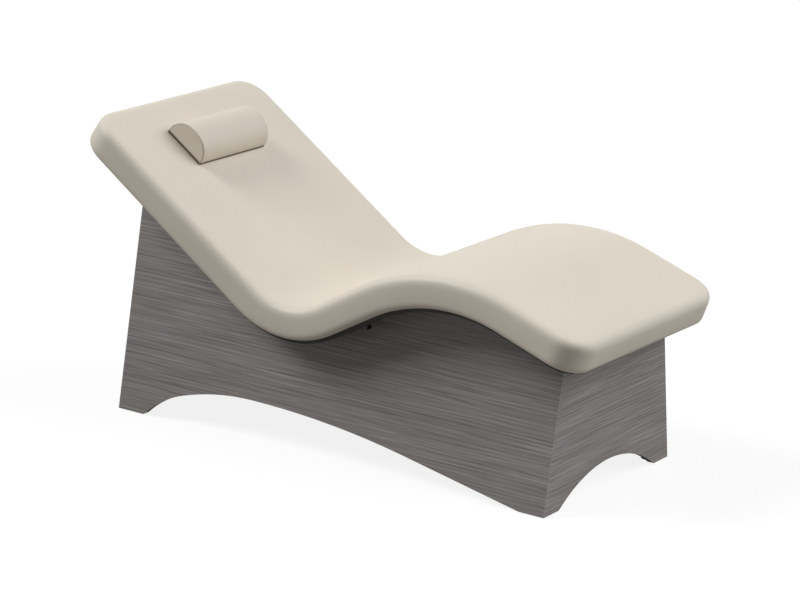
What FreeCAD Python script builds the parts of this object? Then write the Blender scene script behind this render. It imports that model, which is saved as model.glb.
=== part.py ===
"""Spa relaxation lounger: a wave-shaped upholstered pad on a boxed, laminate-faced base.

Lengths are in millimetres and angles in degrees. X runs from the head end to the leg end, the near
long side faces -Y, and Z is up. The origin lies on the floor, under the centre of the whole object.
"""
import FreeCAD, Part
import math
import os
from FreeCAD import Placement, Rotation, Vector

# Side view of the pad's upper surface: three straight stretches and two round turns
back_length = 832.7
seat_length = 546.9
leg_length = 520.1
back_angle = 34.6
seat_angle = 29.9
leg_angle = 19.0
hollow_corner_height = 401.3
hollow_radius = 203.8
knee_radius = 587.2

# Upholstered pad
pad_width = 762.0
pad_thickness = 94.2
pad_corner_radius = 90.0
pad_top_round = 24.0
pad_bottom_round = 15.0
cover_thickness = 1.2
topper_thickness = 25.0
pad_board_thickness = 9.0
hem_width = 60.0
dust_cover_thickness = 0.8
dust_cover_margin = 1.5

# Bent deck board under the pad
deck_thickness = 12.0
deck_inset = 28.0

# Base box, set in from the pad's ends and sides
base_head_inset = 125.9
base_leg_inset = 112.5
base_side_inset = 46.0
side_lean_angle = 9.2
panel_thickness = 18.0
edge_band_thickness = 1.0
floor_gap = 3.0
side_arch_rise = 116.5
side_arch_head_foot = 93.5
side_arch_leg_foot = 79.0
side_arch_place_shares = (0.046, 0.192, 0.498)
side_arch_shoulder_share = 0.5
side_arch_bend_shares = (0.365, 0.62, 0.68)
end_arch_foot = 79.0
end_arch_slope_angle = 34.0
end_arch_bend_share = 0.967
arch_foot_round = 15.0
top_notch_place = 216.0
top_notch_width = 18.0
top_notch_depth = 11.0

# Frame inside the base
post_size = 45.0
rail_height = 45.0
rail_thickness = 28.0
rail_above_arch = 14.0
rib_thickness = 18.0
rib_names = ("rib_head", "rib_back", "rib_seat", "rib_ramp", "rib_knee", "rib_calf")
rib_span_shares = ((0.311, 0.646), (0.0, 0.575), (0.0, 0.513))

# Wood screws
screw_radius = 2.0
screw_head_radius = 4.0
screw_head_height = 2.6
screw_point_length = 5.0
screw_bite = 12.0
deck_screw_bite = 30.0
deck_screw_sink = 0.5
deck_screw_side_share = 0.78
post_screw_pitch = 26.0
post_screw_low = 64.0
post_screw_high = 250.0
rail_screw_count = 5
rail_screw_end_gap = 60.0

# Staples that hold the cover's hem
staple_crown = 10.0
staple_leg = 6.0
staple_wire = 0.8
staple_pitch = 85.0
staple_inset = 48.0
staple_sink = 0.1

# Bolts that hold the pad on the deck
bolt_radius = 4.0
bolt_clearance = 0.5
bolt_head_radius = 7.5
bolt_head_height = 5.3
washer_radius = 12.0
washer_thickness = 1.6
t_nut_barrel_radius = 5.2
t_nut_flange_radius = 11.0
t_nut_flange_thickness = 1.5
bolt_span_shares = ((0.207, 0.479), (0.47,), (0.675,))
bolt_side_clearance = 35.0

# Levelling feet
foot_radius = 19.0
foot_height = 8.0
foot_chamfer = 1.5
foot_hub_radius = 9.0
foot_stem_radius = 5.0
foot_stem_length = 44.0
foot_running_clearance = 0.05
insert_radius = 7.0
insert_length = 24.0
insert_flange_radius = 13.0
insert_flange_thickness = 2.0
stem_bore_clearance = 1.0

# Head pillow
pillow_length = 311.0
pillow_half_depth = 71.5
pillow_rise = 66.5
pillow_shoulder_radius = 58.0
pillow_crown_radius = 85.0
pillow_crown_slope = 14.3
pillow_end_round = 3.0
pillow_place = 197.0
pillow_side_shift = -5.5
pillow_cover_thickness = 1.0
grip_base_thickness = 4.5
grip_base_inset = 1.0
pillow_rest_gap = 0.3

# Working values
overrun = 20.0
touch = 0.01

across = Vector(0, 1, 0)
upward = Vector(0, 0, 1)
base_width = pad_width - base_side_inset * 2
lean = math.tan(math.radians(side_lean_angle))
panel_across = panel_thickness / math.cos(math.radians(side_lean_angle))
post_bottom = foot_height + insert_flange_thickness
deck_top_depth = pad_thickness
deck_bottom_depth = pad_thickness + deck_thickness
board_top_depth = pad_thickness - cover_thickness - pad_board_thickness


# Outlines in the side view
def heading(angle):
    """Unit vector in the side view that climbs towards the leg end by an angle."""
    return Vector(math.cos(math.radians(angle)), 0, math.sin(math.radians(angle)))


def left_of(direction):
    """Unit vector a quarter turn anticlockwise from a direction in the side view."""
    return Vector(-direction.z, 0, direction.x)


def shifted(points, radii, distance):
    """Points and radii of the parallel path that lies a distance to the left."""
    headings = [(b - a).normalize() for a, b in zip(points, points[1:])]
    new_points = [points[0] + left_of(headings[0]) * distance]
    new_radii = []
    for point, before, after, radius in zip(points[1:], headings, headings[1:], radii):
        a, b = left_of(before), left_of(after)
        new_points.append(point + (a + b) * (distance / (1 + a.dot(b))))
        turns_left = before.x * after.z - before.z * after.x > 0
        new_radii.append(radius - distance if turns_left else radius + distance)
    new_points.append(points[-1] + left_of(headings[-1]) * distance)
    return new_points, new_radii


def bend_radius(before, corner, after, run):
    """Radius of a rounded corner whose arc starts a run away from the corner."""
    half_turn = (math.pi - (before - corner).getAngle(after - corner)) / 2
    return run / math.tan(half_turn)


def path_edges(points, radii):
    """Edges along the points, with each inner corner rounded by its radius."""
    edges = []
    start = points[0]
    for before, corner, after, radius in zip(points, points[1:], points[2:], radii):
        back = (before - corner).normalize()
        on = (after - corner).normalize()
        half_turn = (math.pi - back.getAngle(on)) / 2
        entry = corner + back * (radius * math.tan(half_turn))
        leave = corner + on * (radius * math.tan(half_turn))
        middle = corner + (back + on).normalize() * (radius / math.cos(half_turn) - radius)
        edges.append(Part.makeLine(start, entry))
        edges.append(Part.Arc(entry, middle, leave).toShape())
        start = leave
    edges.append(Part.makeLine(start, points[-1]))
    return edges


def closed_face(edges, more_points):
    """Face bounded by the edges and by straight lines through more points back to the start."""
    first = edges[0].valueAt(edges[0].FirstParameter)
    last = edges[-1].valueAt(edges[-1].LastParameter)
    chain = [last] + more_points + [first]
    lines = [Part.makeLine(a, b) for a, b in zip(chain, chain[1:]) if (b - a).Length > touch]
    return Part.Face(Part.Wire(edges + lines))


def spread(face, half_width):
    """Solid made by spreading a side-view face to both sides of the middle plane."""
    face.translate(across * -half_width)
    return face.extrude(across * (half_width * 2))


# Upper surface of the pad
hollow_corner = Vector(0, 0, hollow_corner_height)
head_corner = hollow_corner - heading(-back_angle) * back_length
knee_corner = hollow_corner + heading(seat_angle) * seat_length
leg_corner = knee_corner + heading(-leg_angle) * leg_length


def corner_reach(corner, outward, radius):
    """Farthest X of a pad corner that is rounded, where outward is the end face's normal."""
    centre = corner - (outward + left_of(outward)) * radius
    return centre.x + math.copysign(radius, outward.x)


head_low_corner = head_corner - left_of(heading(-back_angle)) * pad_thickness
head_reach = corner_reach(head_low_corner, heading(-back_angle) * -1, pad_bottom_round)
leg_reach = corner_reach(leg_corner, heading(-leg_angle), pad_top_round)
hollow_x = -(head_reach + leg_reach) / 2
surface_points = [
    corner + Vector(hollow_x, 0, 0) for corner in (head_corner, hollow_corner, knee_corner, leg_corner)
]
surface_radii = [hollow_radius, knee_radius]
base_head_x = hollow_x + head_reach + base_head_inset
base_leg_x = hollow_x + leg_reach - base_leg_inset
base_length = base_leg_x - base_head_x


def surface_path(depth, inset):
    """Points and radii of the pad's surface line, sunk by a depth and shortened at both ends."""
    points, radii = shifted(surface_points, surface_radii, -depth)
    points[0] = points[0] + heading(-back_angle) * inset
    points[-1] = points[-1] - heading(-leg_angle) * inset
    return points, radii


def surface_frame(x, depth):
    """Point and upward normal of the surface line, sunk by a depth, at a place along X."""
    wire = Part.Wire(path_edges(*surface_path(depth, 0)))
    upright = Part.makeLine(Vector(x, 0, 0), Vector(x, 0, back_length + hollow_corner_height))
    point = wire.distToShape(upright)[1][0][0]
    vertex = Part.Vertex(point)
    edge = min(wire.Edges, key=lambda candidate: candidate.distToShape(vertex)[0])
    normal = left_of(edge.tangentAt(edge.Curve.parameter(point)))
    return point, normal if normal.z > 0 else normal * -1


def slab(top_depth, bottom_depth, inset, half_width):
    """Curved slab between two depths under the pad's surface."""
    top = path_edges(*surface_path(top_depth, inset))
    low_points, low_radii = surface_path(bottom_depth, inset)
    bottom = path_edges(list(reversed(low_points)), list(reversed(low_radii)))
    ends = [Part.makeLine(top[-1].Vertexes[-1].Point, low_points[-1]),
            Part.makeLine(low_points[0], surface_path(top_depth, inset)[0][0])]
    return spread(Part.Face(Part.Wire(top + ends[:1] + bottom + ends[1:])), half_width)


def nearest_edge(solid, point):
    """Edge of a solid whose middle lies closest to a point."""
    return min(solid.Edges, key=lambda edge: (edge.CenterOfMass - point).Length)


def round_plan_corners(solid, top_depth, bottom_depth, inset, half_width, radius):
    """Round the four upright corners of a slab, as seen from above."""
    tops = surface_path(top_depth, inset)[0]
    lows = surface_path(bottom_depth, inset)[0]
    middles = [(tops[0] + lows[0]) / 2, (tops[-1] + lows[-1]) / 2]
    chosen = [nearest_edge(solid, middle + across * (side * half_width))
              for middle in middles for side in (-1, 1)]
    return solid.makeFillet(radius, chosen)


def rim_edges(solid, depth, inset):
    """Edges that run round the rim of a slab's face at a depth."""
    wire = Part.Wire(path_edges(*surface_path(depth, inset)))
    ends = [surface_path(depth, inset)[0][0], surface_path(depth, inset)[0][-1]]
    chosen = []
    for edge in solid.Edges:
        middle = edge.valueAt((edge.FirstParameter + edge.LastParameter) / 2)
        flat = Vector(middle.x, 0, middle.z)
        on_face = wire.distToShape(Part.Vertex(flat))[0] < touch
        at_end = min((flat - end).Length for end in ends) < touch
        if on_face and (abs(middle.y) > touch or at_end):
            chosen.append(edge)
    return chosen


def rounded_pad(skin):
    """Pad form with rounded corners and rims, drawn in on every side by a skin thickness."""
    top, bottom = skin, pad_thickness - skin
    half_width = pad_width / 2 - skin
    solid = slab(top, bottom, skin, half_width)
    solid = round_plan_corners(solid, top, bottom, skin, half_width, pad_corner_radius - skin)
    solid = solid.makeFillet(pad_top_round - skin, rim_edges(solid, top, skin))
    return solid.makeFillet(pad_bottom_round - skin, rim_edges(solid, bottom, skin))


def plan_slab(top_depth, bottom_depth, inset):
    """Curved slab whose plan outline lies inside the pad's by an inset."""
    half_width = pad_width / 2 - inset
    solid = slab(top_depth, bottom_depth, inset, half_width)
    radius = pad_corner_radius - inset
    return round_plan_corners(solid, top_depth, bottom_depth, inset, half_width, radius)


def band_of(solid, top_depth, bottom_depth):
    """Part of a solid that lies between two depths under the pad's surface."""
    return solid.common(slab(top_depth, bottom_depth, -overrun, pad_width))


# Shapes that repeat
def placed(shape, point, outward):
    """Copy of a shape moved to a point, with its Z turned to the outward direction."""
    copy = shape.copy()
    copy.Placement = Placement(point, Rotation(upward, outward))
    return copy


def turned(profile):
    """Solid turned about the Z axis from a closed profile of radius and height pairs."""
    points = [Vector(radius, 0, height) for radius, height in profile]
    return Part.Face(Part.makePolygon(points + points[:1])).revolve(Vector(0, 0, 0), upward, 360)


def wood_screw(length, head_room=0):
    """Countersunk screw that hangs down from zero, with any room that its head needs above."""
    shank_end = length - screw_point_length
    head = [(screw_head_radius, 0), (screw_head_radius, head_room)] if head_room else [
        (screw_head_radius, 0)]
    return turned([(0, head_room), *reversed(head), (screw_radius, -screw_head_height),
                   (screw_radius, -shank_end), (0, -length)])


def mirrored(shape):
    """The same shape on the far side of the lounger."""
    return shape.mirror(Vector(0, 0, 0), across)


def outer_y(z):
    """Y of the near side panel's outer face at a height."""
    return -(base_width / 2 - lean * (z - floor_gap))


def leaning_block(plan, z_low, z_high):
    """Prism that leans with the near side panel, from plan points of X and inward distance."""
    points = [Vector(x, outer_y(z_low) + inward, z_low) for x, inward in plan]
    face = Part.Face(Part.makePolygon(points + points[:1]))
    height = z_high - z_low
    return face.extrude(Vector(0, lean * height, height))


def cross_board(x_low, x_high, inward, z_low, z_high, mitre):
    """Upright board between the two leaning sides; mitre draws in the corners of one face.

    The face at x_low keeps the given inward distance and the face at x_high gets the mitre more.
    """
    corners = []
    for x, extra in ((x_low, 0), (x_high, mitre)):
        for z in (z_low, z_high):
            y = outer_y(z) + inward + extra
            corners.append((Vector(x, y, z), Vector(x, -y, z)))
    (a, b), (c, d), (e, f), (g, h) = corners
    loops = [(a, c, d, b), (e, f, h, g), (a, b, f, e), (c, g, h, d), (a, e, g, c), (b, d, h, f)]
    faces = [Part.Face(Part.makePolygon(list(loop) + [loop[0]])) for loop in loops]
    return Part.Solid(Part.Shell(faces))


# Lower edges of the base panels
def side_arch_path():
    """Lower edge line of a side panel, from the head end to the leg end."""
    start = base_head_x + side_arch_head_foot
    span = base_length - side_arch_head_foot - side_arch_leg_foot
    crown = floor_gap + side_arch_rise
    shoulder = floor_gap + side_arch_rise * side_arch_shoulder_share
    heights = (shoulder, crown, crown)
    points = [Vector(base_head_x - overrun, 0, floor_gap), Vector(start, 0, floor_gap)]
    points += [Vector(start + span * share, 0, z) for share, z in zip(side_arch_place_shares, heights)]
    points += [Vector(start + span, 0, floor_gap), Vector(base_leg_x + overrun, 0, floor_gap)]
    shoulder_run = (points[3] - points[2]).Length
    crown_run = (points[4] - points[3]).Length
    radii = [bend_radius(*points[i:i + 3], run * share)
             for i, run, share in zip((1, 2, 3), (shoulder_run, shoulder_run, crown_run),
                                      side_arch_bend_shares)]
    return points, [arch_foot_round, *radii, arch_foot_round]


def end_arch_path():
    """Lower edge line of an end panel, drawn in the side view plane with its middle at zero."""
    half_chord = base_width / 2 - end_arch_foot
    peak = floor_gap + half_chord * math.tan(math.radians(end_arch_slope_angle))
    end = base_width / 2 + overrun
    points = [
        Vector(-end, 0, floor_gap), Vector(-half_chord, 0, floor_gap), Vector(0, 0, peak),
        Vector(half_chord, 0, floor_gap), Vector(end, 0, floor_gap),
    ]
    run = (points[2] - points[1]).Length * end_arch_bend_share
    radius = bend_radius(*points[1:4], run)
    return points, [arch_foot_round, radius, arch_foot_round]


def below_path(path, half_width):
    """Solid that fills all below a lower edge line, past the floor."""
    edges = path_edges(*path)
    first, last = path[0][0], path[0][-1]
    low = [Vector(last.x, 0, -overrun), Vector(first.x, 0, -overrun)]
    return spread(closed_face(edges, low), half_width)


def below_deck():
    """Solid that fills all below the deck board, to past the floor."""
    path = surface_path(deck_bottom_depth, 0)
    return below_path(path, pad_width)


def quarter_turned(solid):
    """A solid drawn in the side view, turned to face along X."""
    copy = solid.copy()
    copy.rotate(Vector(0, 0, 0), upward, 90)
    return copy


# Base
def base_panels(under_deck):
    """Four panels with mitred corners and arched lower edges, each with its edge band."""
    top = surface_points[0].z
    board, board_y = panel_thickness, panel_across
    side_plan = [(base_head_x, 0), (base_leg_x, 0), (base_leg_x - board, board_y),
                 (base_head_x + board, board_y)]
    side = leaning_block(side_plan, floor_gap, top).common(under_deck)
    head = cross_board(base_head_x, base_head_x + board, 0, floor_gap, top, board_y)
    leg = cross_board(base_leg_x, base_leg_x - board, 0, floor_gap, top, board_y)
    side_path, end_path = side_arch_path(), end_arch_path()
    side_arch = below_path(side_path, pad_width)
    side_band = below_path(shifted(*side_path, edge_band_thickness), pad_width)
    end_arch = quarter_turned(below_path(end_path, base_length))
    end_band = quarter_turned(below_path(shifted(*end_path, edge_band_thickness), base_length))
    notch_point, notch_normal = surface_frame(hollow_x + top_notch_place, deck_bottom_depth)
    notch = Part.makeBox(top_notch_width, base_width, top_notch_depth + overrun)
    notch.translate(Vector(-top_notch_width / 2, -base_width / 2, -top_notch_depth))
    side = side.cut(placed(Part.makeCompound([notch]), notch_point, notch_normal))
    panels = {}
    for name, board_solid, arch, band in (
            ("side_panel_near", side, side_arch, side_band),
            ("side_panel_far", mirrored(side), side_arch, side_band),
            ("end_panel_head", head.common(under_deck), end_arch, end_band),
            ("end_panel_leg", leg.common(under_deck), end_arch, end_band)):
        panels[name] = board_solid.cut(band)
        panels[name.replace("panel", "edge_band")] = board_solid.common(band).cut(arch)
    return panels


def span_places(share_sets):
    """Places along X from shares of the spans between the base's ends and the surface's two bends."""
    marks = [base_head_x, surface_points[1].x, surface_points[2].x, base_leg_x]
    return [a + (b - a) * share
            for a, b, shares in zip(marks, marks[1:], share_sets) for share in shares]


def corner_places():
    """Names, inner corner X, direction inwards and side of the four corners of the base."""
    ends = (("head", base_head_x + panel_thickness, 1), ("leg", base_leg_x - panel_thickness, -1))
    return [(end, side_name, x, inwards, side)
            for end, x, inwards in ends for side_name, side in (("near", -1), ("far", 1))]


def foot_centre(x, inwards, side):
    """Centre of a levelling foot on the floor, under the middle of its corner post."""
    inner = outer_y(post_bottom) + panel_across
    return Vector(x + inwards * post_size / 2, -side * (inner + post_size / 2), 0)


def corner_posts(under_deck):
    """Four square posts in the corners of the base, each with a bore for its foot's stem."""
    posts = {}
    stem_room = foot_stem_radius + stem_bore_clearance
    bore_depth = foot_stem_length + stem_bore_clearance
    bore = Part.makeCylinder(stem_room, bore_depth, Vector(0, 0, foot_height))
    for end, side_name, x, inwards, side in corner_places():
        far_x = x + inwards * post_size
        plan = [(x, panel_across), (far_x, panel_across),
                (far_x, panel_across + post_size), (x, panel_across + post_size)]
        post = leaning_block(plan, post_bottom, surface_points[0].z)
        if side > 0:
            post = mirrored(post)
        hole = bore.copy()
        hole.translate(foot_centre(x, inwards, side))
        posts[f"corner_post_{end}_{side_name}"] = post.common(under_deck).cut(hole)
    return posts


def long_rails():
    """Rail on the inside of each side panel, between the corner posts."""
    low = floor_gap + side_arch_rise + rail_above_arch
    x_low = base_head_x + panel_thickness + post_size
    x_high = base_leg_x - panel_thickness - post_size
    inner = panel_across + rail_thickness
    plan = [(x_low, panel_across), (x_high, panel_across), (x_high, inner), (x_low, inner)]
    near = leaning_block(plan, low, low + rail_height)
    return {"long_rail_near": near, "long_rail_far": mirrored(near)}


def cross_ribs(under_deck):
    """Upright boards across the base that carry the deck and stand on the rails."""
    low = floor_gap + side_arch_rise + rail_above_arch + rail_height
    ribs = {}
    for name, x in zip(rib_names, span_places(rib_span_shares)):
        board = cross_board(x - rib_thickness / 2, x + rib_thickness / 2, panel_across, low,
                            surface_points[0].z, 0)
        ribs[name] = board.common(under_deck)
    return ribs


# Fixings in the base
def deck_screw_set():
    """Upright screws through the deck into the ribs and end panels, and the room that each fills."""
    length = deck_thickness + deck_screw_bite
    screw = wood_screw(length)
    room = wood_screw(length, deck_thickness)
    end_places = [base_head_x + panel_thickness / 2, base_leg_x - panel_thickness / 2]
    screws, rooms = [], []
    for x in span_places(rib_span_shares) + end_places:
        point, normal = surface_frame(x, deck_top_depth)
        sink = deck_screw_sink + screw_head_radius * abs(normal.x / normal.z)
        reach = -outer_y(point.z) * deck_screw_side_share
        for y in (-reach, 0, reach):
            head = point + across * y - upward * sink
            screws.append(placed(screw, head, upward))
            rooms.append(placed(room, head, upward))
    return screws, rooms


def rib_screw_set():
    """Screws from under the long rails up into the ends of the ribs."""
    screw = wood_screw(rail_height + deck_screw_bite)
    z = floor_gap + side_arch_rise + rail_above_arch
    y = outer_y(z) + panel_across + rail_thickness / 2
    return [placed(screw, Vector(x, side * y, z), upward * -1)
            for x in span_places(rib_span_shares) for side in (-1, 1)]


def post_screw_set():
    """Screws from the inner faces of the corner posts into the side and end panels."""
    screw = wood_screw(post_size + screw_bite)
    low_starts = [post_screw_low, post_screw_high]
    screws = []
    for _, _, x, inwards, side in corner_places():
        for start in low_starts:
            inner_x = x + inwards * post_size
            end_y = outer_y(start) + panel_across + post_size / 2
            end_point = Vector(inner_x, -side * end_y, start)
            screws.append(placed(screw, end_point, Vector(inwards, 0, 0)))
            height = start + post_screw_pitch
            side_y = outer_y(height) + panel_across + post_size
            side_point = Vector(x + inwards * post_size / 2, -side * side_y, height)
            screws.append(placed(screw, side_point, Vector(0, -side, 0)))
    return screws


def rail_screw_set():
    """Screws from inside the base through the rails into the side panels."""
    screw = wood_screw(rail_thickness + screw_bite)
    z = floor_gap + side_arch_rise + rail_above_arch + rail_height / 2
    y = outer_y(z) + panel_across + rail_thickness
    first = base_head_x + panel_thickness + post_size + rail_screw_end_gap
    last = base_leg_x - panel_thickness - post_size - rail_screw_end_gap
    step = (last - first) / (rail_screw_count - 1)
    return [placed(screw, Vector(first + step * i, -side * y, z), Vector(0, -side, 0))
            for i in range(rail_screw_count) for side in (-1, 1)]


def bolt_places():
    """Points on the deck's underside and upward normals for the bolts that hold the pad."""
    frames = [surface_frame(x, deck_bottom_depth) for x in span_places(bolt_span_shares)]
    highest = max(point.z for point, _ in frames)
    side_place = -outer_y(highest) - panel_across - washer_radius - bolt_side_clearance
    return [(point + across * (side * side_place), normal)
            for point, normal in frames for side in (-1, 1)]


def bolt_rooms():
    """Cylinders that clear the bolts, from below the deck to inside the pad."""
    return [Part.makeCylinder(bolt_radius + bolt_clearance, pad_thickness,
                              point - normal * deck_thickness, normal)
            for point, normal in bolt_places()]


def pad_fixings():
    """Washers, bolts, T-nuts and the room that these nuts fill, each as a list of solids."""
    hole = bolt_radius + bolt_clearance
    washer = turned([(hole, -washer_thickness), (washer_radius, -washer_thickness),
                     (washer_radius, 0), (hole, 0)])
    shank_end = deck_thickness + cover_thickness + pad_board_thickness
    head_top = -washer_thickness
    head = Part.makePolygon([
        Vector(bolt_head_radius * math.cos(math.radians(angle)),
               bolt_head_radius * math.sin(math.radians(angle)), head_top - bolt_head_height)
        for angle in range(0, 361, 60)])
    head = Part.Face(head).extrude(upward * bolt_head_height)
    shank = Part.makeCylinder(bolt_radius, shank_end - head_top, Vector(0, 0, head_top))
    bolt = head.fuse(shank).removeSplitter()
    board_low = deck_thickness + cover_thickness
    flange_low = board_low + pad_board_thickness - t_nut_flange_thickness
    t_nut, t_nut_room = [turned([
        (bore, board_low), (t_nut_barrel_radius, board_low),
        (t_nut_barrel_radius, flange_low), (t_nut_flange_radius, flange_low),
        (t_nut_flange_radius, flange_low + t_nut_flange_thickness),
        (bore, flange_low + t_nut_flange_thickness),
    ]) for bore in (bolt_radius, 0)]
    return [[placed(shape, point, normal) for point, normal in bolt_places()]
            for shape in (washer, bolt, t_nut, t_nut_room)]


# Pad
def staple(low):
    """Upright staple pressed in by its sink, with its crown's lower face brought to a height."""
    half_crown, half_wire = staple_crown / 2, staple_wire / 2
    crown = Part.makeBox(staple_crown, staple_wire, staple_sink + staple_wire - low,
                         Vector(-half_crown, -half_wire, low))
    legs = [Part.makeBox(staple_wire, staple_wire, staple_leg - low, Vector(x, -half_wire, low))
            for x in (-half_crown, half_crown - staple_wire)]
    return crown.multiFuse(legs).removeSplitter()


def staple_set():
    """Staples along both sides of the pad's underside, and the rooms that they press in the hem."""
    ends = surface_path(pad_thickness, pad_corner_radius)[0]
    count = int((ends[-1].x - ends[0].x) / staple_pitch)
    y = pad_width / 2 - staple_inset
    staples, rooms = [], []
    for i in range(count + 1):
        x = ends[0].x + (ends[-1].x - ends[0].x) * i / count
        point, normal = surface_frame(x, pad_thickness)
        for side in (-1, 1):
            staples.append(placed(staple(staple_sink), point + across * (side * y), normal))
            rooms.append(placed(staple(0), point + across * (side * y), normal))
    return staples, rooms


def pad_pieces(t_nut_rooms, staple_rooms):
    """Board, foams, cover and dust cover of the upholstered pad."""
    outer = rounded_pad(0)
    inner = rounded_pad(cover_thickness)
    topper_depth = cover_thickness + topper_thickness
    window = plan_slab(pad_thickness - cover_thickness * 2, pad_thickness + overrun, hem_width)
    dust_inset = hem_width + dust_cover_margin
    dust_top = pad_thickness - dust_cover_thickness
    hem_room = Part.makeCompound(staple_rooms)
    return {
        "pad_board": band_of(inner, board_top_depth, pad_thickness).cut(
            Part.makeCompound(t_nut_rooms)).cut(hem_room),
        "foam_core": band_of(inner, topper_depth, board_top_depth),
        "foam_topper": band_of(inner, -overrun, topper_depth),
        "pad_cover": outer.cut(inner).cut(window).cut(hem_room),
        "dust_cover": plan_slab(dust_top, pad_thickness, dust_inset).cut(
            Part.makeCompound(bolt_rooms())),
    }


# Levelling feet
def levelling_feet():
    """Foot disc and threaded stem at each corner, wound fully in."""
    disc = turned([
        (0, 0), (foot_radius - foot_chamfer, 0), (foot_radius, foot_chamfer),
        (foot_radius, foot_height / 2), (foot_hub_radius, foot_height), (0, foot_height)])
    stem = turned([
        (0, foot_height), (foot_stem_radius, foot_height),
        (foot_stem_radius, foot_stem_length - foot_chamfer),
        (foot_stem_radius - foot_chamfer, foot_stem_length), (0, foot_stem_length)])
    feet = {}
    for end, side_name, x, inwards, side in corner_places():
        for name, shape in (("foot_disc", disc), ("foot_stem", stem)):
            copy = shape.copy()
            copy.translate(foot_centre(x, inwards, side))
            feet[f"{name}_{end}_{side_name}"] = copy
    return feet


def foot_inserts():
    """Flanged threaded sleeves in the undersides of the corner posts."""
    bore = foot_stem_radius + foot_running_clearance
    sleeve = turned([
        (bore, foot_height), (insert_flange_radius, foot_height),
        (insert_flange_radius, post_bottom), (insert_radius, post_bottom),
        (insert_radius, post_bottom + insert_length), (bore, post_bottom + insert_length)])
    inserts = []
    for _, _, x, inwards, side in corner_places():
        copy = sleeve.copy()
        copy.translate(foot_centre(x, inwards, side))
        inserts.append(copy)
    return inserts


# Head pillow
def pillow_form(skin):
    """Half-round pillow lying along Y on its flat side, drawn in on every side by a skin."""
    half = pillow_half_depth
    slope = math.radians(pillow_crown_slope)
    peak = pillow_rise + pillow_crown_radius * (1 / math.cos(slope) - 1)
    shoulder = peak - half * math.tan(slope)
    points = [Vector(-half, 0, 0), Vector(-half, 0, shoulder), Vector(0, 0, peak),
              Vector(half, 0, shoulder), Vector(half, 0, 0)]
    radii = [pillow_shoulder_radius, pillow_crown_radius, pillow_shoulder_radius]
    points, radii = shifted(points, radii, -skin)
    points[0] = points[0] + upward * skin
    points[-1] = points[-1] + upward * skin
    solid = spread(closed_face(path_edges(points, radii), []), pillow_length / 2 - skin)
    rims = [edge for edge in solid.Edges if abs(abs(edge.CenterOfMass.y) - pillow_length / 2 + skin) < touch
            and edge.CenterOfMass.z > skin + touch]
    return solid.makeFillet(pillow_end_round, rims)


def on_back(shape, lift):
    """Copy of a shape set on the sloped back at the pillow's place, lifted off it."""
    down_slope = heading(-back_angle)
    point = surface_points[0] + down_slope * pillow_place + left_of(down_slope) * lift
    copy = shape.copy()
    copy.Placement = Placement(point + across * pillow_side_shift, Rotation(across, back_angle))
    return copy


def pillow_pieces():
    """Foam, cover and non-slip base of the head pillow."""
    outer = pillow_form(0)
    foam = pillow_form(pillow_cover_thickness)
    grip_half = pillow_half_depth - grip_base_inset
    grip_length = pillow_length - grip_base_inset * 2
    grip = Part.makeBox(grip_half * 2, grip_length, grip_base_thickness)
    grip.translate(Vector(-grip_half, -grip_length / 2, 0))
    lift = pillow_rest_gap + grip_base_thickness
    return {
        "pillow_foam": on_back(foam, lift),
        "pillow_cover": on_back(outer.cut(foam), lift),
        "pillow_grip_base": on_back(Part.makeCompound([grip]), pillow_rest_gap),
    }


def build():
    """All pieces of the lounger by name."""
    under_deck = below_deck()
    deck_screws, deck_screw_rooms = deck_screw_set()
    post_screws = post_screw_set()
    rail_screws = rail_screw_set()
    rib_screws = rib_screw_set()
    washers, bolts, t_nuts, t_nut_rooms = pad_fixings()
    staples, staple_rooms = staple_set()
    inserts = foot_inserts()
    base_fixings = Part.makeCompound(
        deck_screws + post_screws + rail_screws + rib_screws + inserts)
    frame = {**base_panels(under_deck), **corner_posts(under_deck), **long_rails(),
             **cross_ribs(under_deck)}
    pieces = {name: solid.cut(base_fixings) for name, solid in frame.items()}
    deck = plan_slab(deck_top_depth, deck_bottom_depth, deck_inset)
    pieces["deck_board"] = deck.cut(Part.makeCompound(deck_screw_rooms + bolt_rooms()))
    pieces.update(pad_pieces(t_nut_rooms, staple_rooms))
    pieces.update(levelling_feet())
    pieces.update(pillow_pieces())
    pieces["deck_screws"] = Part.makeCompound(deck_screws)
    pieces["post_screws"] = Part.makeCompound(post_screws)
    pieces["rail_screws"] = Part.makeCompound(rail_screws)
    pieces["rib_screws"] = Part.makeCompound(rib_screws)
    pieces["foot_inserts"] = Part.makeCompound(inserts)
    pieces["pad_washers"] = Part.makeCompound(washers)
    pieces["pad_bolts"] = Part.makeCompound(bolts)
    pieces["pad_t_nuts"] = Part.makeCompound(t_nuts)
    pieces["hem_staples"] = Part.makeCompound(staples)
    return pieces


os.makedirs("parts", exist_ok=True)
for node, shape in build().items():
    shape.exportStep(os.path.join("parts", node + ".step"))
    print(node, "solids", len(shape.Solids), "volume", round(shape.Volume), "valid", shape.isValid())
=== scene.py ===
# %% [markdown]
# # Dressing a spa relaxation lounger
# The real lounger is one long upholstered pad, bent like a wave, on a boxed base that is faced with
# wood-look laminate. A half-round head pillow lies on the back. The CAD model already holds every
# size and every moving body, so it stays as a fixed frame here. Hard pieces keep their CAD shapes
# and get finishes. The soft pieces are made again, because foam under stretched vinyl swells a
# little, and a plain solid doesn't show that.

# %% Load the frame
import math

import bpy
import numpy as np
from mathutils import Matrix, Vector


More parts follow.
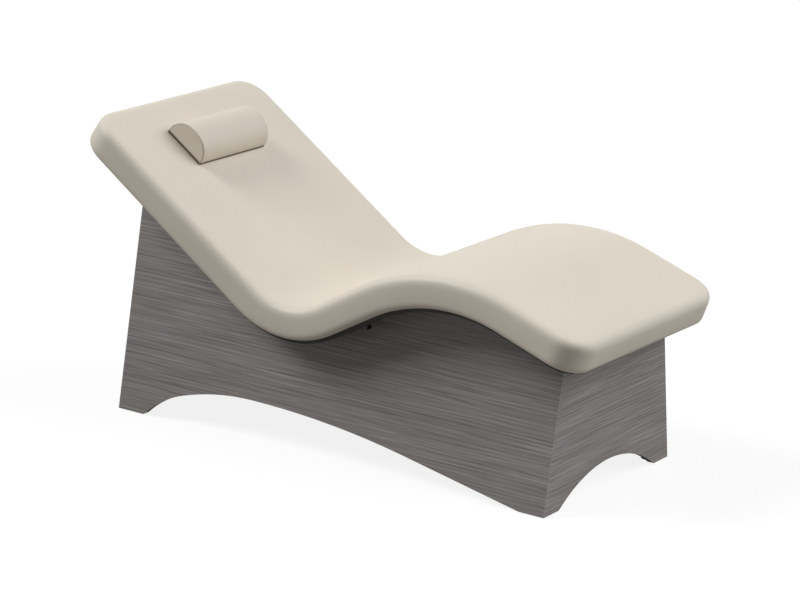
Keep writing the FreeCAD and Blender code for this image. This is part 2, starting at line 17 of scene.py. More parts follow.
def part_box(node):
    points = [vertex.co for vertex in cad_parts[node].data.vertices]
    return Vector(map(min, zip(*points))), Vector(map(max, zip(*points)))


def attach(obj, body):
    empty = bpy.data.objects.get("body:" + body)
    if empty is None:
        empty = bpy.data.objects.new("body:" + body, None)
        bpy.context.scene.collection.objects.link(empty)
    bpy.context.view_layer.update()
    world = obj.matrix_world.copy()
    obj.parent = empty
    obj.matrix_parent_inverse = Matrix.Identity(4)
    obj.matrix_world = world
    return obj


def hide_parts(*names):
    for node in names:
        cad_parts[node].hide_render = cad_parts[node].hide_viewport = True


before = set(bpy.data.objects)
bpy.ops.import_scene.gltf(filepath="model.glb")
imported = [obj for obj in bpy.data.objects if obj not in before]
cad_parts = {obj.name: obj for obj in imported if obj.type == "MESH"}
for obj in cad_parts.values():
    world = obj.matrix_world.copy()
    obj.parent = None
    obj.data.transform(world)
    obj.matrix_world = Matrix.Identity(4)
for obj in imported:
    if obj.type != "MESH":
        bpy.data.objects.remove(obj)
scene = bpy.context.scene
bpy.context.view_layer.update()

# %% [markdown]
# ## The camera
# A product picture is taken from far away with a long lens, so that the long side stays calm and
# hardly tapers. The camera stands to the front right, a little above the pad, and is turned very
# slightly about its own axis. Angles give its direction, and its three axes follow from them.

# %% Camera
camera_place = Vector((4.8913, -7.3565, 2.9421))
camera_azimuth = math.radians(33.488)
camera_elevation = math.radians(16.062)
camera_roll = math.radians(-2.292)
camera_lens = 145.485
farthest_seen = 200

ahead = Vector((-math.sin(camera_azimuth) * math.cos(camera_elevation),
                math.cos(camera_azimuth) * math.cos(camera_elevation),
                -math.sin(camera_elevation)))
level = Vector((math.cos(camera_azimuth), math.sin(camera_azimuth), 0))
below = ahead.cross(level)
to_right = level * math.cos(camera_roll) + below * math.sin(camera_roll)
to_bottom = below * math.cos(camera_roll) - level * math.sin(camera_roll)

camera_data = bpy.data.cameras.new("camera")
camera_data.lens = camera_lens
camera_data.clip_end = farthest_seen
camera = bpy.data.objects.new("camera", camera_data)
scene.collection.objects.link(camera)
axes = Matrix((to_right, -to_bottom, -ahead)).transposed()
camera.matrix_world = Matrix.Translation(camera_place) @ axes.to_4x4()
scene.camera = camera
print("camera", [round(x, 2) for x in camera.location], "lens", camera_lens)

# %% [markdown]
# ## Writing a material in few lines
# Every finish here is a small tree of shader nodes. Adding a node, setting its options and wiring
# its inputs takes many lines, so one helper does all three. An input is given as a plain value, or
# as the output socket of another node.

# %% Helpers for shader nodes
def add_node(tree, kind, inputs=None, **options):
    """Add a shader node, set its options, and set or wire its inputs."""
    made = tree.nodes.new("ShaderNode" + kind)
    for name, value in options.items():
        setattr(made, name, value)
    for key, value in (inputs or {}).items():
        if isinstance(value, bpy.types.NodeSocket):
            tree.links.new(value, made.inputs[key])
        else:
            made.inputs[key].default_value = value
    return made


def colour(red, green, blue):
    """A colour as seen on screen, from 0 to 255, as the linear values that nodes use."""
    shares = [channel / 255 for channel in (red, green, blue)]
    return [((s + 0.055) / 1.055) ** 2.4 if s > 0.04045 else s / 12.92 for s in shares] + [1.0]


def toned(tone, factor):
    """A colour made darker or lighter by a factor, and no lighter than white."""
    return [min(1.0, channel * factor) for channel in tone[:3]] + [1.0]


def new_tree(name):
    """An empty material and its node tree."""
    material = bpy.data.materials.new(name)
    material.use_nodes = True
    material.node_tree.nodes.clear()
    return material, material.node_tree


def stretched(tree, scale):
    """Object coordinates scaled, so that a pattern is longer one way than another."""
    place = add_node(tree, "TexCoord").outputs["Object"]
    return add_node(tree, "Mapping", {"Vector": place, "Scale": scale}).outputs["Vector"]


def noise(tree, vector, scale=1.0, detail=2.0, rough=0.5):
    """Soft random pattern from 0 to 1."""
    made = add_node(tree, "TexNoise", {
        "Vector": vector, "Scale": scale, "Detail": detail, "Roughness": rough})
    return made.outputs["Fac"]


def span(tree, value, low, high, to_low=0.0, to_high=1.0):
    """Map a value from one range to another, and stop at both ends."""
    made = add_node(tree, "MapRange", {
        "Value": value, "From Min": low, "From Max": high, "To Min": to_low, "To Max": to_high})
    return made.outputs["Result"]


def evened(tree, pattern, to_low=0.0, to_high=1.0):
    """Spread the middle of a noise, where most of its values lie, over a whole range."""
    return span(tree, pattern, 0.3, 0.7, to_low, to_high)


def maths(tree, operation, a, b=0.0):
    """One sum on one or two values."""
    return add_node(tree, "Math", {0: a, 1: b}, operation=operation).outputs["Value"]


def blended(tree, share, first, second):
    """Mix two colours by a share."""
    made = add_node(tree, "Mix", {"Factor": share, "A": first, "B": second}, data_type="RGBA")
    return made.outputs["Result"]


def finish_tree(tree, base, rough, height=None, depth=0.0005, strength=0.3, **constants):
    """Close a tree with the main shader, a bump from a height, and the output."""
    inputs = {"Base Color": base, "Roughness": rough}
    inputs.update({name.replace("_", " "): value for name, value in constants.items()})
    if height is not None:
        bump = add_node(tree, "Bump", {"Height": height, "Distance": depth, "Strength": strength})
        inputs["Normal"] = bump.outputs["Normal"]
    shader = add_node(tree, "BsdfPrincipled", inputs)
    add_node(tree, "OutputMaterial", {"Surface": shader.outputs["BSDF"]})


print("helpers ready")

# %% [markdown]
# ## Floor and light
# The object stands on a plain white floor in a white room. The floor looks white to the camera and
# keeps a faint shadow, but it throws back only as much light as a mid grey one, which keeps the
# underside of the pad from glowing. The room looks white too and gives hardly any light. Two broad
# lamps from opposite sides model the form. The one before the head end stands a little higher and
# is crisper, and the one behind the leg end is very soft. The corner that faces the camera gets
# little of either, so it stays the darkest part of the pad's side.

# %% Room
world = bpy.data.worlds.new("room")
world.use_nodes = True
scene.world = world
room = world.node_tree
room.nodes.clear()
ambient_light = 0.02
floor_bounce = (0.29, 0.29, 0.282, 1)
floor_glow, floor_shade = 0.87, (0.16, 0.16, 0.16, 1)
floor_size = 60
rays = add_node(room, "LightPath")
seen = maths(room, "MAXIMUM", rays.outputs["Is Camera Ray"], rays.outputs["Is Transmission Ray"])
seen = maths(room, "MAXIMUM", seen, rays.outputs["Is Glossy Ray"])
level_of_light = span(room, seen, 0, 1, ambient_light, 1.0)
background = add_node(room, "Background", {"Color": (1, 1, 1, 1), "Strength": level_of_light})
add_node(room, "OutputWorld", {"Surface": background.outputs["Background"]})

floor_material, tree = new_tree("white_floor")
rays = add_node(tree, "LightPath")
seen = maths(tree, "MAXIMUM", rays.outputs["Is Camera Ray"], rays.outputs["Is Transmission Ray"])
bounce = add_node(tree, "BsdfDiffuse", {"Color": floor_bounce})
glow = add_node(tree, "Emission", {"Color": (1, 1, 1, 1), "Strength": floor_glow})
shade = add_node(tree, "BsdfDiffuse", {"Color": floor_shade})
white = add_node(tree, "AddShader", {0: glow.outputs[0], 1: shade.outputs[0]})
pick = add_node(tree, "MixShader", {0: seen, 1: bounce.outputs[0], 2: white.outputs[0]})
add_node(tree, "OutputMaterial", {"Surface": pick.outputs[0]})

bpy.ops.object.select_all(action="DESELECT")
bpy.ops.mesh.primitive_plane_add(size=floor_size, location=(0, 0, 0))
floor = bpy.context.object
floor.name = "floor"
floor.data.materials.append(floor_material)


def add_lamp(name, azimuth, elevation, strength, softness):
    """A far broad lamp, given by where its light comes from. Azimuth 0 is the near long side."""
    lamp_data = bpy.data.lights.new(name, "SUN")
    lamp_data.energy = strength
    lamp_data.angle = math.radians(softness)
    lamp = bpy.data.objects.new(name, lamp_data)
    scene.collection.objects.link(lamp)
    turn, rise = math.radians(azimuth), math.radians(elevation)
    source = Vector((math.sin(turn) * math.cos(rise), -math.cos(turn) * math.cos(rise),
                     math.sin(rise)))
    lamp.rotation_mode = "QUATERNION"
    lamp.rotation_quaternion = source.to_track_quat("Z", "Y")


add_lamp("head_lamp", azimuth=-57, elevation=44, strength=2.64, softness=30)
add_lamp("back_lamp", azimuth=121, elevation=38, strength=2.38, softness=60)
scene.view_settings.view_transform = "Standard"
print("floor, room and two lamps")

# %% [markdown]
# ## Helpers for modelling
# The operators in Blender act on whatever is selected, so each step first says which object and
# which parts of it are meant. A finished piece keeps its place in its own mesh, with its object at
# the origin, as the CAD nodes do.

# %% Helpers for pieces
cloth_steps = 20
tiny = 1e-5


def only(piece):
    """Make one object the selected and active one."""
    bpy.ops.object.select_all(action="DESELECT")
    piece.select_set(True)
    bpy.context.view_layer.objects.active = piece


def select_parts(piece, test):
    """In edit mode, select the edges that pass a test on their points."""
    bpy.ops.object.mode_set(mode="EDIT")
    bpy.ops.mesh.select_mode(type="EDGE")
    bpy.ops.mesh.select_all(action="DESELECT")
    bpy.ops.object.mode_set(mode="OBJECT")
    for edge in piece.data.edges:
        edge.select = bool(test([piece.data.vertices[i].co for i in edge.vertices]))
    bpy.ops.object.mode_set(mode="EDIT")


def apply_modifier(piece, kind, name, **settings):
    """Add a modifier to a piece, set it up, and apply it."""
    only(piece)
    modifier = piece.modifiers.new(name, kind)
    for key, value in settings.items():
        setattr(modifier, key, value)
    bpy.ops.object.modifier_apply(modifier=name)


def points_of(piece):
    """The places of a mesh's points, as an array of three columns."""
    flat = np.empty(len(piece.data.vertices) * 3)
    piece.data.vertices.foreach_get("co", flat)
    return flat.reshape(-1, 3)


def place_points(piece, places):
    """Write changed places back to a mesh."""
    piece.data.vertices.foreach_set("co", np.asarray(places, np.float32).ravel())
    piece.data.update()


def all_at(points, height):
    """True if all points lie at one height."""
    return all(abs(point.z - height) < tiny for point in points)


def bevel(piece, test, width, segments):
    """Round the edges of a piece that pass a test on their points."""
    select_parts(piece, test)
    bpy.ops.mesh.bevel(offset=width, segments=segments, clamp_overlap=False)
    bpy.ops.object.mode_set(mode="OBJECT")


def eased(value, low, high):
    """0 below low, 1 above high, and a smooth step between."""
    share = np.clip((value - low) / (high - low), 0, 1)
    return share * share * (3 - 2 * share)


def swell(piece, held, pressure, most):
    """Blow up a closed skin with cloth while some points are held, and cap how far others move."""
    only(piece)
    start = points_of(piece)
    group = piece.vertex_groups.new(name="held")
    group.add([int(i) for i in np.flatnonzero(held)], 1.0, "REPLACE")
    cloth = piece.modifiers.new("cloth", "CLOTH")
    cloth.settings.use_pressure = True
    cloth.settings.uniform_pressure_force = pressure
    cloth.settings.effector_weights.gravity = 0
    cloth.settings.vertex_group_mass = "held"
    cloth.point_cache.frame_end = cloth_steps
    for step in range(1, cloth_steps + 1):
        scene.frame_set(step)
    bpy.ops.object.modifier_apply(modifier="cloth")
    scene.frame_set(1)
    piece.vertex_groups.clear()
    moves = points_of(piece) - start
    lengths = np.linalg.norm(moves, axis=1)
    print(piece.name, "swelled by", round(float(lengths.max()) * 1000, 1), "mm before the cap")
    shares = np.minimum(1, most / np.maximum(lengths, 1e-9))
    place_points(piece, start + moves * shares[:, None])


print("modelling helpers ready")

# %% [markdown]
# ## The pad
# The pad is foam on a bent plywood board, covered in one smooth piece of vinyl that is pulled round
# to the underside. It could be modelled bent from the start, but it is easier to do what a
# furniture maker does: build the slab flat, round its corners and rims, let it swell under its
# cover, and bend the finished slab on a line at the end. The curve of that line is the CAD model's:
# three straight stretches joined by two round turns.

# %% The pad's line
back_length, seat_length, leg_length = 0.8327, 0.5469, 0.5201
back_angle, seat_angle, leg_angle = (math.radians(a) for a in (34.6, 29.9, 19.0))
hollow_radius, knee_radius = 0.2038, 0.5872
hollow_corner = Vector((-0.11316, 0, 0.4013))


def climbing(angle):
    """Unit vector in the side view that climbs towards the leg end by an angle."""
    return Vector((math.cos(angle), 0, math.sin(angle)))


head_corner = hollow_corner - climbing(-back_angle) * back_length
knee_corner = hollow_corner + climbing(seat_angle) * seat_length
leg_corner = knee_corner + climbing(-leg_angle) * leg_length
hollow_turn = back_angle + seat_angle
knee_turn = seat_angle + leg_angle
hollow_run = hollow_radius * math.tan(hollow_turn / 2)
knee_run = knee_radius * math.tan(knee_turn / 2)
stretches = [back_length - hollow_run, hollow_radius * hollow_turn,
             seat_length - hollow_run - knee_run, knee_radius * knee_turn, leg_length - knee_run]
pad_length = sum(stretches)

line_data = bpy.data.curves.new("pad_line", "CURVE")
line_data.dimensions = "3D"
line_data.twist_mode = "Z_UP"
line_data.resolution_u = 64
spline = line_data.splines.new("BEZIER")
spline.bezier_points.add(5)
down_back, up_seat, down_leg = climbing(-back_angle), climbing(seat_angle), climbing(-leg_angle)
hollow_handle = hollow_radius * math.tan(hollow_turn / 4) * 4 / 3
knee_handle = knee_radius * math.tan(knee_turn / 4) * 4 / 3
line_points = [
    (head_corner, down_back, stretches[0] / 3, stretches[0] / 3),
    (hollow_corner - down_back * hollow_run, down_back, stretches[0] / 3, hollow_handle),
    (hollow_corner + up_seat * hollow_run, up_seat, hollow_handle, stretches[2] / 3),
    (knee_corner - up_seat * knee_run, up_seat, stretches[2] / 3, knee_handle),
    (knee_corner + down_leg * knee_run, down_leg, knee_handle, stretches[4] / 3),
    (leg_corner, down_leg, stretches[4] / 3, stretches[4] / 3),
]
for point, (place, along, before, after) in zip(spline.bezier_points, line_points):
    point.handle_left_type = point.handle_right_type = "FREE"
    point.co = place
    point.handle_left = place - along * before
    point.handle_right = place + along * after
pad_line = bpy.data.objects.new("pad_line", line_data)
scene.collection.objects.link(pad_line)
print("pad line", round(pad_length, 4), "m long")

# %% [markdown]
# A cube is a fair start for the slab: its upright edges are beveled into the round plan corners,
# then the rim of the top gets a wide bevel and the rim of the bottom a narrow one. The bevels are
# made of flat strips, and the cloth needs even squares, so the slab is rebuilt from small voxels.
# It starts a millimetre low, and the swelling brings its top back up.

# %% The flat slab
pad_width, pad_thickness = 0.762, 0.0942
plan_corner, top_round, bottom_round = 0.090, 0.024, 0.015
side_allowance, top_allowance = 0.0005, 0.001
pad_voxel = 0.0065

slab_size = (pad_length + 2 * side_allowance, pad_width + 2 * side_allowance,
             pad_thickness - top_allowance)
bpy.ops.object.select_all(action="DESELECT")
bpy.ops.mesh.primitive_cube_add(
    size=1, scale=slab_size,
    location=(pad_length / 2, 0, -top_allowance - slab_size[2] / 2))
pad = bpy.context.object
pad.name = "pad_cushion"
only(pad)
bpy.ops.object.transform_apply(location=True, rotation=True, scale=True)
top_level, bottom_level = -top_allowance, -pad_thickness
bevel(pad, lambda p: not all_at(p, p[0].z), plan_corner + side_allowance, segments=16)
bevel(pad, lambda p: all_at(p, top_level), top_round, segments=10)
bevel(pad, lambda p: all_at(p, bottom_level), bottom_round, segments=6)
apply_modifier(pad, "REMESH", "voxels", mode="VOXEL", voxel_size=pad_voxel)
bpy.ops.object.mode_set(mode="EDIT")
bpy.ops.mesh.select_all(action="SELECT")
bpy.ops.mesh.vertices_smooth(factor=0.5, repeat=1)
bpy.ops.object.mode_set(mode="OBJECT")
print("slab of", len(pad.data.polygons), "faces")

# %% [markdown]
# The cover is stapled to the board underneath, so the bottom is held while the rest swells. The
# pillow slides along the back, and foam gives way under it, so the pad stays level in that track.
# Inside the hem the underside is sunk a little, where the black dust cover closes it.

# %% Swelling, and bending on the line
pad_pressure, pad_most = 0.05, 0.003
under_height, upper_height = 0.004, -0.03
swell(pad, points_of(pad)[:, 2] < bottom_level + under_height, pad_pressure, pad_most)

track_half_width, track_start, track_end, track_fade = 0.175, 0.04, 0.52, 0.06
places = points_of(pad)
in_track = (1 - eased(np.abs(places[:, 1]), track_half_width, track_half_width + track_fade)) \
    * eased(places[:, 0], track_start, track_start + track_fade) \
    * (1 - eased(places[:, 0], track_end, track_end + track_fade))
above = places[:, 2] > upper_height
level_top = np.minimum(places[:, 2], 0)
places[:, 2] = np.where(above, places[:, 2] + (level_top - places[:, 2]) * in_track, places[:, 2])

hem_width, hem_sink = 0.060, 0.0011
hem_fade_in, hem_fade_out = 0.004, 0.002
inner = np.minimum(pad_width / 2 - np.abs(places[:, 1]),
                   pad_length / 2 - np.abs(places[:, 0] - pad_length / 2))
underneath = places[:, 2] < bottom_level + under_height
sunk = underneath * eased(inner, hem_width - hem_fade_in, hem_width + hem_fade_out)
places[:, 2] = places[:, 2] + sunk * hem_sink
place_points(pad, places)

apply_modifier(pad, "CURVE", "bend", object=pad_line, deform_axis="POS_X")
bpy.data.objects.remove(pad_line)
bpy.ops.object.shade_smooth()
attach(pad, "lounger")
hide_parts("pad_cover", "foam_core", "foam_topper")
low, high = points_of(pad).min(0), points_of(pad).max(0)
print("pad from", low.round(4), "to", high.round(4))

# %% [markdown]
# ## The head pillow
# The pillow is a half-round roll: a flat underside, a high back, and a D-shaped panel sewn in at
# each end. A cube is cut by two sloped planes like a roof, and the three upper edges are then
# beveled by as much as their round needs, which gives the D. The rims of the ends get only a small
# bevel and stay crisp.

# %% Pillow form
pillow_length, pillow_half, pillow_rise = 0.311, 0.0715, 0.0665
shoulder_radius, crown_radius, crown_slope = 0.058, 0.085, math.radians(14.3)
pillow_voxel, end_round = 0.003, 0.0025
pillow_along, pillow_shift, pillow_lift = 0.197, -0.0055, 0.0048

peak = pillow_rise + crown_radius * (1 / math.cos(crown_slope) - 1)
bpy.ops.object.select_all(action="DESELECT")
bpy.ops.mesh.primitive_cube_add(size=1, scale=(2 * pillow_half, pillow_length, peak),
                                location=(0, 0, peak / 2))
pillow = bpy.context.object
pillow.name = "pillow_cushion"
only(pillow)
bpy.ops.object.transform_apply(location=True, rotation=True, scale=True)
for side in (-1, 1):
    bpy.ops.object.mode_set(mode="EDIT")
    bpy.ops.mesh.select_all(action="SELECT")
    bpy.ops.mesh.bisect(
        plane_co=(0, 0, peak), clear_outer=True, use_fill=True,
        plane_no=(side * math.sin(crown_slope), 0, math.cos(crown_slope)))
    bpy.ops.object.mode_set(mode="OBJECT")


def lengthwise(points):
    """True for an edge that runs along the roll."""
    return abs(points[0].y - points[1].y) > pillow_length / 2


crown_run = crown_radius * math.tan(crown_slope)
bevel(pillow, lambda p: lengthwise(p) and all_at(p, peak), crown_run, segments=8)
shoulder_level = peak - pillow_half * math.tan(crown_slope)
shoulder_run = shoulder_radius * math.tan((math.pi / 2 - crown_slope) / 2)
bevel(pillow, lambda p: lengthwise(p) and all_at(p, shoulder_level), shoulder_run, segments=16)


def end_rim(points):
    """True for an edge that runs round one of the two D-shaped ends, but not along its foot."""
    at_end = all(abs(abs(p.y) - pillow_length / 2) < tiny for p in points)
    return at_end and not all_at(points, 0)


select_parts(pillow, end_rim)
bpy.ops.mesh.duplicate()
bpy.ops.mesh.separate(type="SELECTED")
bpy.ops.object.mode_set(mode="OBJECT")
seams = next(piece for piece in bpy.context.selected_objects if piece != pillow)
seams.name = "pillow_seams"
bevel(pillow, end_rim, end_round, segments=2)
apply_modifier(pillow, "REMESH", "voxels", mode="VOXEL", voxel_size=pillow_voxel)
print("pillow of", len(pillow.data.polygons), "faces")

# %% [markdown]
# The rims that were set apart become the seams. Each is drawn in a little, so that it lies on the
# end panel just inside its rim, and a curve with a round section turns it into a thread that is
# mostly sunk in the cover. The thread is darker than the cover: partly its own colour and partly
# painted shade of the seam's groove.

# %% Pillow seams
seam_inset, seam_sink, seam_radius = 0.0026, 0.0005, 0.0010
places = points_of(seams)
places *= (1 - seam_inset / pillow_half, 1 - seam_sink / (pillow_length / 2),
           1 - seam_inset / pillow_rise)
place_points(seams, places)
only(seams)
bpy.ops.object.convert(target="CURVE")
seams.data.bevel_depth = seam_radius
seams.data.bevel_resolution = 2
seams.data.use_fill_caps = True
bpy.ops.object.convert(target="MESH")
bpy.ops.object.shade_smooth()
print("seams of", len(seams.data.polygons), "faces")

# %% [markdown]
# The roll swells a little too, and its flat underside and its sewn ends are held. Its lowest few
# millimetres are marked for painted shade, so that the vinyl is darker where the roll meets the
# pad.
# Then it is turned to the slope of the back and set down at its place, on its thin non-slip base.

# %% Pillow swelling and placing
pillow_pressure, pillow_most = 4.0, 0.0015
held_foot, held_end = 0.004, 0.0035
shade_full, shade_gone = 0.0005, 0.0040
places = points_of(pillow)
held = (places[:, 2] < held_foot) | (np.abs(places[:, 1]) > pillow_length / 2 - held_end)
swell(pillow, held, pillow_pressure, pillow_most)
apply_modifier(pillow, "SUBSURF", "finer", levels=1, render_levels=1)
foot_shade = pillow.data.attributes.new("foot_shade", "FLOAT", "POINT")
heights = points_of(pillow)[:, 2]
foot_shade.data.foreach_set("value", 1 - eased(heights, shade_full, shade_gone))

foot_of_pillow = head_corner + down_back * pillow_along
up_from_back = Vector((-down_back.z, 0, down_back.x))
lifted = foot_of_pillow + up_from_back * pillow_lift + Vector((0, pillow_shift, 0))
for piece in (pillow, seams):
    piece.matrix_world = Matrix.Translation(lifted) @ Matrix.Rotation(back_angle, 4, "Y")
    only(piece)
    bpy.ops.object.transform_apply(location=True, rotation=True, scale=True)
    bpy.ops.object.shade_smooth()
    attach(piece, "pillow")
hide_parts("pillow_foam", "pillow_cover")
print("pillow from", points_of(pillow).min(0).round(4), "to", points_of(pillow).max(0).round(4))

# %% [markdown]
# ## Vinyl
# The cover is a soft warm beige vinyl with a fine pressed leather grain that shows only close up.
# Small cells make the grain, and a slow noise shifts its colour and gloss a little, as handling
# and light do over a large sheet.

# %% Vinyl finishes
leather_scale, thread_scale = 620, 900
crease_width, crease_painted_shade, pore_share = 0.12, 0.10, 0.6


def make_vinyl(name, tone, grain_scale, painted_shade=None):
    """Smooth upholstery vinyl with a fine pressed grain, with painted shade in its creases and
    where a named attribute says.
    """
    material, tree = new_tree(name)
    place = stretched(tree, (1, 1, 1))
    cells = add_node(tree, "TexVoronoi", {"Vector": place, "Scale": grain_scale},
                     feature="DISTANCE_TO_EDGE").outputs["Distance"]
    creases = span(tree, cells, 0.0, crease_width)
    pores = noise(tree, place, scale=grain_scale * 2.2, detail=3)
    height = maths(tree, "ADD", creases, maths(tree, "MULTIPLY", pores, pore_share))
    cloudy = noise(tree, place, scale=2.6, detail=3)
    base = blended(tree, evened(tree, cloudy), toned(tone, 0.955), toned(tone, 1.03))
    # painted shade: the grain's creases are darkened a little
    base = blended(tree, span(tree, creases, 0, 1, crease_painted_shade, 0.0), base, toned(tone, 0.6))
    # painted shade: darker where the named attribute marks the foot of the pillow
    if painted_shade:
        share = add_node(tree, "Attribute", attribute_name=painted_shade).outputs["Fac"]
        base = blended(tree, share, base, toned(tone, 0.45))
    rough = evened(tree, cloudy, 0.50, 0.58)
    finish_tree(tree, base, rough, height, depth=0.00012, strength=0.25)
    return material


pad_vinyl = make_vinyl("pad_vinyl", colour(214, 206, 192), leather_scale)
# painted shade: the pillow's vinyl is the pad's, made a little darker
pillow_vinyl = make_vinyl("pillow_vinyl", colour(208, 200, 186), leather_scale, "foot_shade")
# partly thread colour, partly painted shade of the seam's groove
seam_thread_and_shade = make_vinyl("seam_thread_and_shade", colour(172, 162, 147), thread_scale)
for piece, material in ((pad, pad_vinyl), (pillow, pillow_vinyl), (seams, seam_thread_and_shade)):
    piece.data.materials.append(material)
print("vinyls for pad, pillow and seams")

# %% [markdown]
# ## Laminate
# The base is faced with a grey-brown laminate printed with straight level grain: streaks a few
# millimetres high and a hand or more long, some light and some dark, with faint violet and green
# tints. Several noises, each stretched far along the grain, are added up for that, and a ripple
# that repeats about every centimetre and fades in and out. The grain runs level on every face, so
# the side panels stretch it along X and the end panels along Y. A thin lighter line along the
# mitred edge is a painted highlight.

# %% Laminate finishes
base_head, base_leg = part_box("end_panel_head")[0].x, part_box("end_panel_leg")[1].x
half_width_low, side_lean, floor_gap = 0.335, math.tan(math.radians(9.2)), 0.003
ripple_height, ripple_wander = 2 * math.pi / 600, 14
tone_low, tone_high = 0.085, 0.905
line_share, tint_share, painted_highlight_share = 0.24, 0.16, 0.22
painted_highlight_start, painted_highlight_full = 0.0018, 0.0008


def make_laminate(name, along_x, darker, lighter):
    """Printed linear grain between two tones, long one way and fine the other."""
    material, tree = new_tree(name)

    def grain(length_scale, height_scale, detail=2.0):
        """Noise that is long along the grain and fine across it."""
        flat = (length_scale, 1.0) if along_x else (1.0, length_scale)
        return noise(tree, stretched(tree, (*flat, height_scale)), detail=detail)

    place = add_node(tree, "TexCoord").outputs["Object"]
    parts = add_node(tree, "SeparateXYZ", {"Vector": place}).outputs
    broad = grain(0.9, 22)
    streaks = grain(4.5, 150, 1)
    fine = grain(13.0, 400, 1)
    lines = grain(3.0, 190, 1)
    ripple_phase = maths(tree, "ADD",
                         maths(tree, "MULTIPLY", parts["Z"], 2 * math.pi / ripple_height),
                         maths(tree, "MULTIPLY", grain(3.0, 40, 1), ripple_wander))
    ripple = maths(tree, "MULTIPLY", maths(tree, "SINE", ripple_phase),
                   span(tree, grain(8.0, 90, 1), 0.35, 0.65))
    tone = maths(tree, "MULTIPLY", broad, 0.12)
    for pattern, share in ((streaks, 0.62), (fine, 0.25), (ripple, 0.22)):
        tone = maths(tree, "ADD", tone, maths(tree, "MULTIPLY", pattern, share))
    tone = span(tree, tone, tone_low, tone_high)
    base = blended(tree, tone, darker, lighter)
    for low, high, line_tone in ((0.40, 0.34, colour(80, 75, 74)),
                                 (0.61, 0.66, colour(192, 188, 184))):
        line = maths(tree, "MULTIPLY", span(tree, lines, low, high), line_share)
        base = blended(tree, line, base, line_tone)
    tint = grain(2.0, 30, 1)
    violet = span(tree, tint, 0.55, 0.75, 0, tint_share)
    green = span(tree, tint, 0.45, 0.25, 0, tint_share)
    base = blended(tree, violet, base, colour(126, 112, 134))
    base = blended(tree, green, base, colour(118, 126, 116))

    # painted highlight: a thin lighter line along the mitred edge
    if along_x:
        from_middle = maths(tree, "ABSOLUTE", maths(tree, "SUBTRACT", parts["X"],
                                                    (base_head + base_leg) / 2))
        to_edge = maths(tree, "SUBTRACT", (base_leg - base_head) / 2, from_middle)
    else:
        leaned = maths(tree, "MULTIPLY", parts["Z"], side_lean)
        from_middle = maths(tree, "ADD", maths(tree, "ABSOLUTE", parts["Y"]), leaned)
        to_edge = maths(tree, "SUBTRACT", half_width_low + side_lean * floor_gap, from_middle)
    painted_edge_highlight = span(tree, to_edge, painted_highlight_start, painted_highlight_full, 0, painted_highlight_share)
    base = blended(tree, painted_edge_highlight, base, colour(190, 184, 178))
    rough = evened(tree, streaks, 0.40, 0.52)
    finish_tree(tree, base, rough, maths(tree, "ADD", streaks, fine), depth=0.0003, strength=0.2)
    return material


side_laminate = make_laminate("side_laminate", True, colour(100, 95, 94), colour(157, 152, 149))
end_laminate = make_laminate("end_laminate", False, colour(106, 101, 100), colour(166, 161, 158))
print("laminate for sides and ends")

# %% [markdown]
# ## Timber, plywood and small materials
# The frame inside is plain softwood and plywood, and is hardly seen, but each piece is finished all
# the same. Softwood gets slow wavy rings stretched along its length. Plywood gets fine streaks,
# darker patches and short open pores. The deck's is a dark brown, which partly stands in as
# painted shade in the gap under the pad's rim. Metal parts are zinc plated, with faint cloudy
# patches, and the feet are moulded in dark grey plastic.

# %% Wood finishes inside
def make_timber(name, scale, light, dark):
    """Softwood with rings stretched along the grain."""
    material, tree = new_tree(name)
    place = stretched(tree, scale)
    drift = noise(tree, place, scale=1.0, detail=2)
    wave = add_node(tree, "TexWave", {
        "Vector": place, "Scale": 1.2, "Distortion": 6.0, "Detail": 2.0, "Detail Scale": 1.4,
    }, bands_direction="DIAGONAL")
    rings = maths(tree, "MULTIPLY", wave.outputs["Fac"], span(tree, drift, 0.2, 0.8, 0.4, 1))
    base = blended(tree, rings, light, dark)
    finish_tree(tree, base, span(tree, rings, 0, 1, 0.62, 0.5), rings, depth=0.0003, strength=0.3)
    return material


def make_plywood(name, light, dark, grain_scale):
    """Plywood face veneer with short open pores along the length."""
    material, tree = new_tree(name)
    streaks = noise(tree, stretched(tree, grain_scale), detail=4, rough=0.6)
    patches = noise(tree, stretched(tree, (4, 9, 4)), detail=2)
    pore_scale = [scale * 3 for scale in grain_scale]
    pores = span(tree, noise(tree, stretched(tree, pore_scale), detail=1), 0.36, 0.28)
    base = blended(tree, evened(tree, streaks), light, dark)
    base = blended(tree, span(tree, patches, 0.4, 0.7, 0, 0.3), base, dark)
    base = blended(tree, maths(tree, "MULTIPLY", pores, 0.5), base, toned(dark, 0.5))
    finish_tree(tree, base, evened(tree, streaks, 0.55, 0.7), streaks, depth=0.0003, strength=0.3)
    return material


softwood = (colour(206, 178, 134), colour(168, 130, 84))
veneer = (colour(196, 170, 130), colour(168, 138, 98))
upright_timber = make_timber("upright_timber", (30, 30, 2), *softwood)
long_timber = make_timber("long_timber", (2, 30, 30), *softwood)
rib_plywood = make_plywood("rib_plywood", *veneer, (120, 3, 90))
# partly painted shade: the deck's dark brown also darkens the gap under the pad's rim
deck_plywood = make_plywood("deck_plywood", colour(62, 57, 53), colour(46, 42, 39), (3, 120, 120))
board_plywood = make_plywood("board_plywood", *veneer, (3, 120, 60))
print("wood finishes")

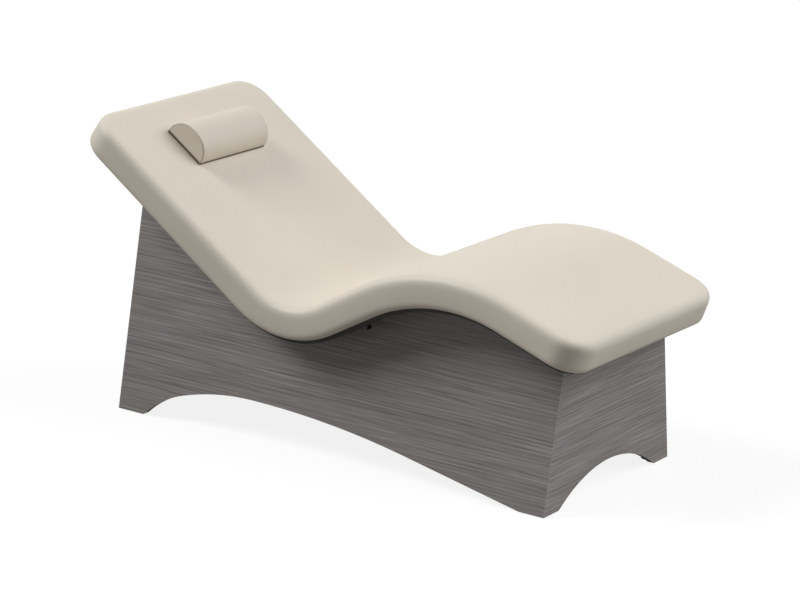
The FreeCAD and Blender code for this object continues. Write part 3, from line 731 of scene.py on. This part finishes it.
# %% Small finishes
def make_metal(name, tone):
    """Zinc-plated steel with cloudy patches and fine scratches."""
    material, tree = new_tree(name)
    clouds = noise(tree, stretched(tree, (1, 1, 1)), scale=220, detail=3)
    scratches = noise(tree, stretched(tree, (1600, 300, 300)), detail=2)
    base = blended(tree, evened(tree, clouds), tone, toned(tone, 0.8))
    rough = span(tree, maths(tree, "ADD", clouds, scratches), 0.7, 1.3, 0.28, 0.45)
    finish_tree(tree, base, rough, scratches, depth=0.00005, strength=0.2, Metallic=1.0)
    return material


def make_specked(name, tone, speck_scale, rough_low, rough_high, depth):
    """Plastic, cloth or edge strip of one colour with fine lighter specks and a slight texture."""
    material, tree = new_tree(name)
    specks = noise(tree, stretched(tree, (1, 1, 1)), scale=speck_scale, detail=3)
    base = blended(tree, evened(tree, specks), tone, toned(tone, 1.5))
    rough = evened(tree, specks, rough_low, rough_high)
    finish_tree(tree, base, rough, specks, depth=depth, strength=0.4)
    return material


zinc_steel = make_metal("zinc_steel", colour(196, 198, 200))
foot_plastic = make_specked("foot_plastic", colour(58, 57, 56), 1500, 0.42, 0.6, 0.0001)
dust_cloth = make_specked("dust_cloth", colour(38, 38, 39), 700, 0.8, 0.95, 0.0003)
grip_sheet = make_specked("grip_sheet", colour(84, 73, 61), 900, 0.75, 0.9, 0.0003)
edge_strip = make_specked("edge_strip", colour(120, 115, 113), 400, 0.45, 0.6, 0.0001)
print("small finishes")

# %% [markdown]
# ## Finishes on the CAD nodes
# A CAD node keeps its shape and only gets its material. The names say which finish each node has,
# and the first matching start of a name counts. The steel parts stand first, because rib_screws
# would match the ribs too.

# %% Finish every CAD node
steel_nodes = ("rib_screws", "deck_screws", "foot_stem", "foot_inserts", "post_screws",
               "rail_screws", "pad_washers", "pad_bolts", "pad_t_nuts", "hem_staples")
finishes = dict.fromkeys(steel_nodes, zinc_steel) | {
    "side_panel": side_laminate, "end_panel": end_laminate,
    "side_edge_band": edge_strip, "end_edge_band": edge_strip,
    "corner_post": upright_timber, "long_rail": long_timber, "rib_": rib_plywood,
    "deck_board": deck_plywood, "pad_board": board_plywood, "dust_cover": dust_cloth,
    "foot_disc": foot_plastic, "pillow_grip_base": grip_sheet,
}
finished = 0
for name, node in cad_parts.items():
    start = next((key for key in finishes if name.startswith(key)), None)
    if start:
        node.data.materials.clear()
        node.data.materials.append(finishes[start])
        finished += 1
print("finished", finished, "CAD nodes")
